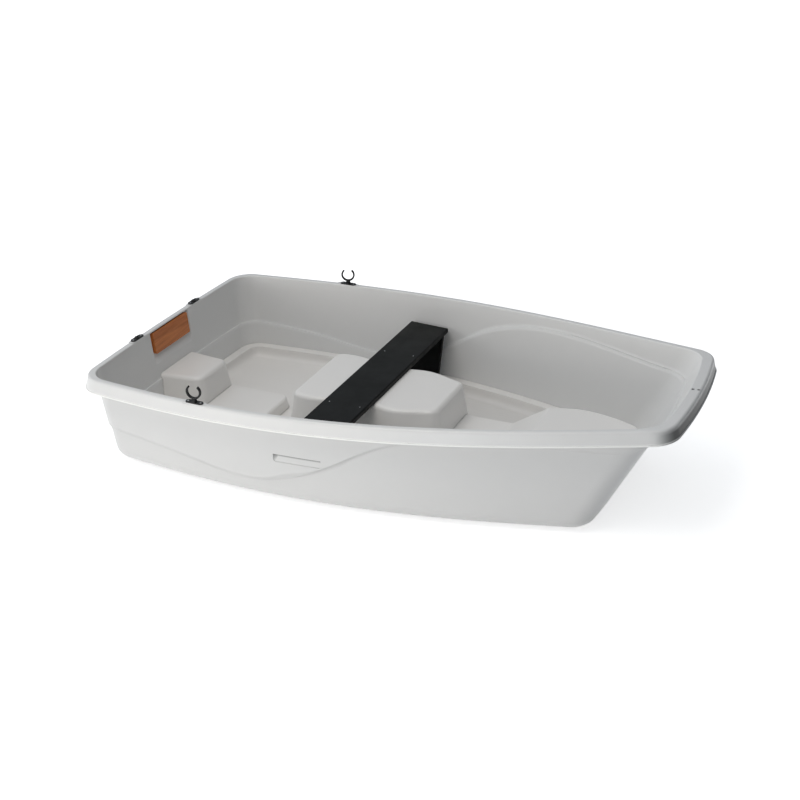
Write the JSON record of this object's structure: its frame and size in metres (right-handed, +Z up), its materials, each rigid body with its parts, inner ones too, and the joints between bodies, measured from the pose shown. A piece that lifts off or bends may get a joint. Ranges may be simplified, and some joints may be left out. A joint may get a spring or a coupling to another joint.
{
  "type": "rowing dinghy",
  "caption": "Short moulded pram rowing dinghy with a rolled rim, blocks in its floor, a black thwart and turning oarlocks.",
  "frame": {"origin": "centre of the boat's length and beam on the plane that its runners stand on", "axes": "+X forward to the bow, +Y to port, +Z up"},
  "size_m": [2.4666, 1.4146, 0.5133],
  "materials": {
    "hull_moulding": "moulded polyethylene",
    "liner_moulding": "moulded polyethylene",
    "thwart_board": "moulded black polyethylene",
    "fitting": "black nylon",
    "oarlock": "black nylon",
    "keeper": "stainless",
    "wood_pad": "varnished"
  },
  "bodies": {
    "hull": {"hull_shell": "hull_moulding", "gunwale": "hull_moulding", "floor_liner": "liner_moulding", "thwart": "thwart_board", "thwart_leg_port": "thwart_board", "thwart_leg_starboard": "thwart_board", "oarlock_socket_port": "fitting", "oarlock_socket_starboard": "fitting", "stern_socket_port": "fitting", "stern_socket_starboard": "fitting", "motor_pad": "wood_pad"},
    "oarlock_port": {"oarlock_port": "oarlock", "oarlock_keeper_port": "keeper"},
    "oarlock_starboard": {"oarlock_starboard": "oarlock", "oarlock_keeper_starboard": "keeper"}
  },
  "joints": [
    {"name": "oarlock_port_spin", "type": "hinge", "parent": "hull", "child": "oarlock_port", "pos_m": [-0.62, 0.6777, 0.42076], "axis": [0, 0, 1], "continuous": true},
    {"name": "oarlock_starboard_spin", "type": "hinge", "parent": "hull", "child": "oarlock_starboard", "pos_m": [-0.62, -0.6777, 0.42076], "axis": [0, 0, 1], "continuous": true}
  ]
}
